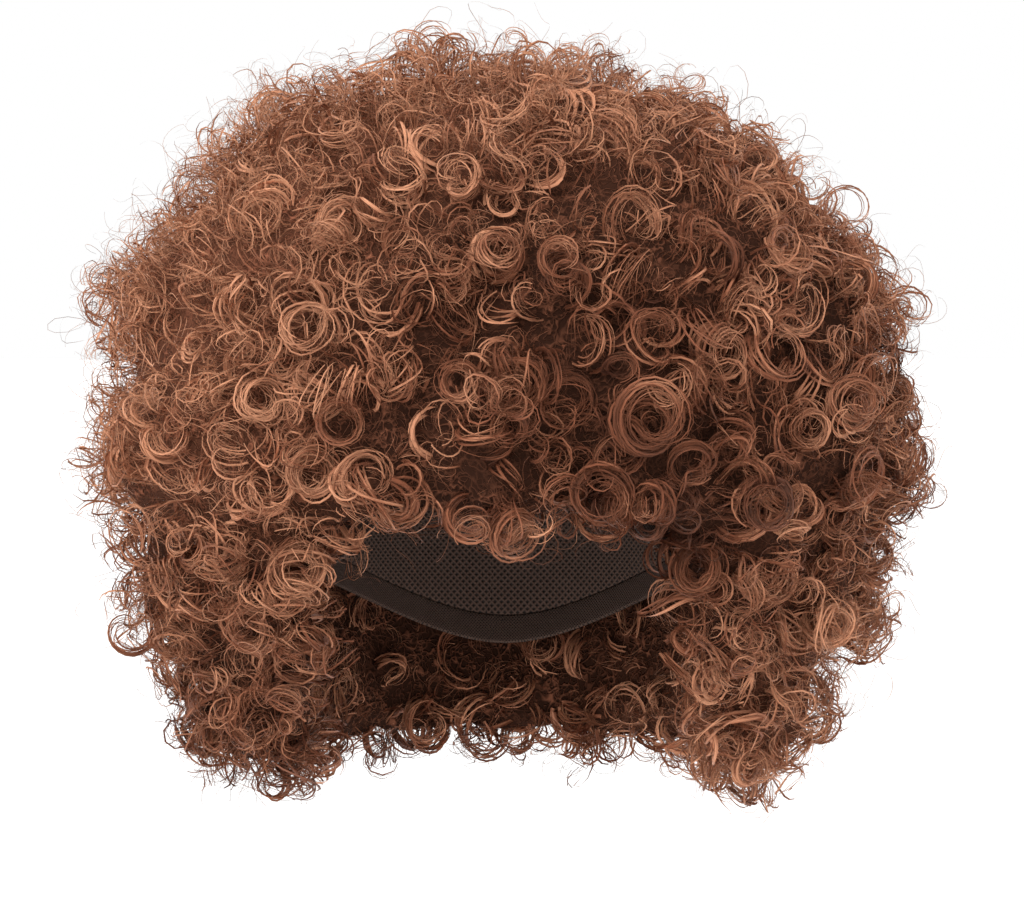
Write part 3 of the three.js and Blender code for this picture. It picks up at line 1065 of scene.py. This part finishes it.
class WIG_OT_stage(bpy.types.Operator):
    """Make the floor, the lights and the camera"""

    bl_idname = "wig.stage"
    bl_label = "Stage"

    def execute(self, context):
        settings = context.scene.wig_stage
        scene = context.scene
        scene.view_settings.view_transform = "Standard"

        mesh = bpy.data.meshes.new("floor")
        sides = ((-1, -1), (1, -1), (1, 1), (-1, 1))
        corners = [(x * FLOOR_HALF, y * FLOOR_HALF, settings.floor) for x, y in sides]
        mesh.from_pydata(corners, [], [(0, 1, 2, 3)])
        floor = new_piece("floor", mesh)
        material, nodes, shader = new_material("Pale floor")
        nodes.join(shader, {"Base Color": (*settings.floor_colour, 1.0), "Roughness": 0.9})
        mesh.materials.append(material)

        world = bpy.data.worlds.new("Studio")
        world.use_nodes = True
        nodes = Nodes(world.node_tree)
        behind = nodes.split(nodes.add("ShaderNodeTexCoord").outputs["Generated"])[1]
        nodes.join(world.node_tree.nodes["Background"], {
            "Color": (1.0, 1.0, 1.0, 1.0),
            "Strength": nodes.ramp(behind, first=-0.7, last=0.3, low=settings.front, high=settings.sky),
        })
        scene.world = world

        lamp = bpy.data.lights.new("key", "SUN")
        lamp.energy = settings.key
        lamp.angle = KEY_ANGLE
        key = bpy.data.objects.new("key", lamp)
        key.rotation_euler = Vector(KEY_WAY).to_track_quat("-Z", "Y").to_euler()
        scene.collection.objects.link(key)

        lens = bpy.data.cameras.new("camera")
        lens.sensor_width = SENSOR_WIDTH
        lens.lens = SENSOR_WIDTH / PHOTO_WIDTH * settings.distance / PHOTO_SCALE
        camera = bpy.data.objects.new("camera", lens)
        camera.location = Vector(camera_place(settings))
        camera.rotation_euler = (Vector(AIM) - camera.location).to_track_quat("-Z", "Y").to_euler()
        scene.collection.objects.link(camera)
        scene.camera = camera
        return {"FINISHED"}


class WIG_OT_cap(bpy.types.Operator):
    """Make the net cap and its elastic edge band"""

    bl_idname = "wig.cap"
    bl_label = "Cap and edge band"

    def execute(self, context):
        settings = context.scene.wig_cap
        for node, slot, name, count in (
            ("cap", "cap_net", "Knitted net", 1.0), ("edge_band", "elastic", "Woven elastic", 2.0),
        ):
            piece = smooth_copy(node, node + "_cloth")
            lay_threads(piece)
            piece.data.materials.append(net_material(settings, name, count))
            settle(piece, node)
        return {"FINISHED"}


class WIG_OT_under_hair(bpy.types.Operator):
    """Make the dense mass of hair that lies under the ringlets"""

    bl_idname = "wig.under_hair"
    bl_label = "Dense hair"

    def execute(self, context):
        settings = context.scene.wig_under
        mesh = bpy.data.meshes.new("hair_mass")
        shape = bmesh.new()
        for row in HAIR_ROWS:
            shape.from_mesh(frame["nodes"][row].data)
        bmesh.ops.remove_doubles(shape, verts=shape.verts, dist=MERGE_DISTANCE)
        shape.to_mesh(mesh)
        shape.free()
        piece = new_piece("hair_mass", mesh)
        skin = piece.modifiers.new("Skin", "REMESH")
        skin.mode = "VOXEL"
        skin.voxel_size = settings.detail
        bake(piece)
        apply_tree(piece, mass_tree(), {
            "Depth": settings.depth, "Detail": settings.detail, "Tufts": settings.tufts,
            "Material": under_material(settings),
        })
        # The mass's tone carries the painted light and shade of each place.
        tone = piece.data.attributes.new("tone", "FLOAT", "POINT")
        tone.data.foreach_set("value", [lightness(place) for place in points_of(piece.data)])
        settle(piece, None)
        return {"FINISHED"}


class WIG_OT_curls(bpy.types.Operator):
    """Make the ringlets, frizz and loose strands of each row of hair"""

    bl_idname = "wig.curls"
    bl_label = "Curls"

    def execute(self, context):
        settings = context.scene.wig_curls
        surface = Surface(frame["nodes"])
        material = strand_material(settings)
        tree = curl_tree()
        rows = all_locks(surface, settings, camera_place(context.scene.wig_stage))
        for row, locks in rows.items():
            piece = new_piece(row + "_curls", lock_mesh(row + "_curls", locks))
            strands = sum(one["lock_strands"] for one in locks)
            columns = math.ceil(math.sqrt(strands))
            apply_tree(piece, tree, {
                "Columns": columns, "Rows": math.ceil(strands / columns),
                "Seed": SEED, "Material": material,
            })
            settle(piece, None if row == INNER else row)
        return {"FINISHED"}


class WIG_PT_panel(bpy.types.Panel):
    """Lists the steps and their settings"""

    bl_label = "Curly Afro Wig"
    bl_idname = "WIG_PT_panel"
    bl_space_type = "VIEW_3D"
    bl_region_type = "UI"
    bl_category = "Wig"

    def draw(self, context):
        for operator in OPERATORS:
            self.layout.operator(operator.bl_idname)
        for name, group in SETTINGS.items():
            box = self.layout.box()
            for field in group.__annotations__:
                box.prop(getattr(context.scene, name), field)


SETTINGS = {
    "wig_stage": StageSettings, "wig_cap": CapSettings,
    "wig_under": UnderHairSettings, "wig_curls": CurlSettings,
}
OPERATORS = (WIG_OT_stage, WIG_OT_cap, WIG_OT_under_hair, WIG_OT_curls)


def register():
    for group in (*SETTINGS.values(), *OPERATORS, WIG_PT_panel):
        bpy.utils.register_class(group)
    for name, group in SETTINGS.items():
        setattr(bpy.types.Scene, name, PointerProperty(type=group))


def unregister():
    for name in SETTINGS:
        delattr(bpy.types.Scene, name)
    for group in (WIG_PT_panel, *reversed(OPERATORS), *SETTINGS.values()):
        bpy.utils.unregister_class(group)


def main():
    register()
    bpy.ops.wig.stage()
    bpy.ops.wig.cap()
    bpy.ops.wig.under_hair()
    bpy.ops.wig.curls()


if __name__ == "__main__":
    main()
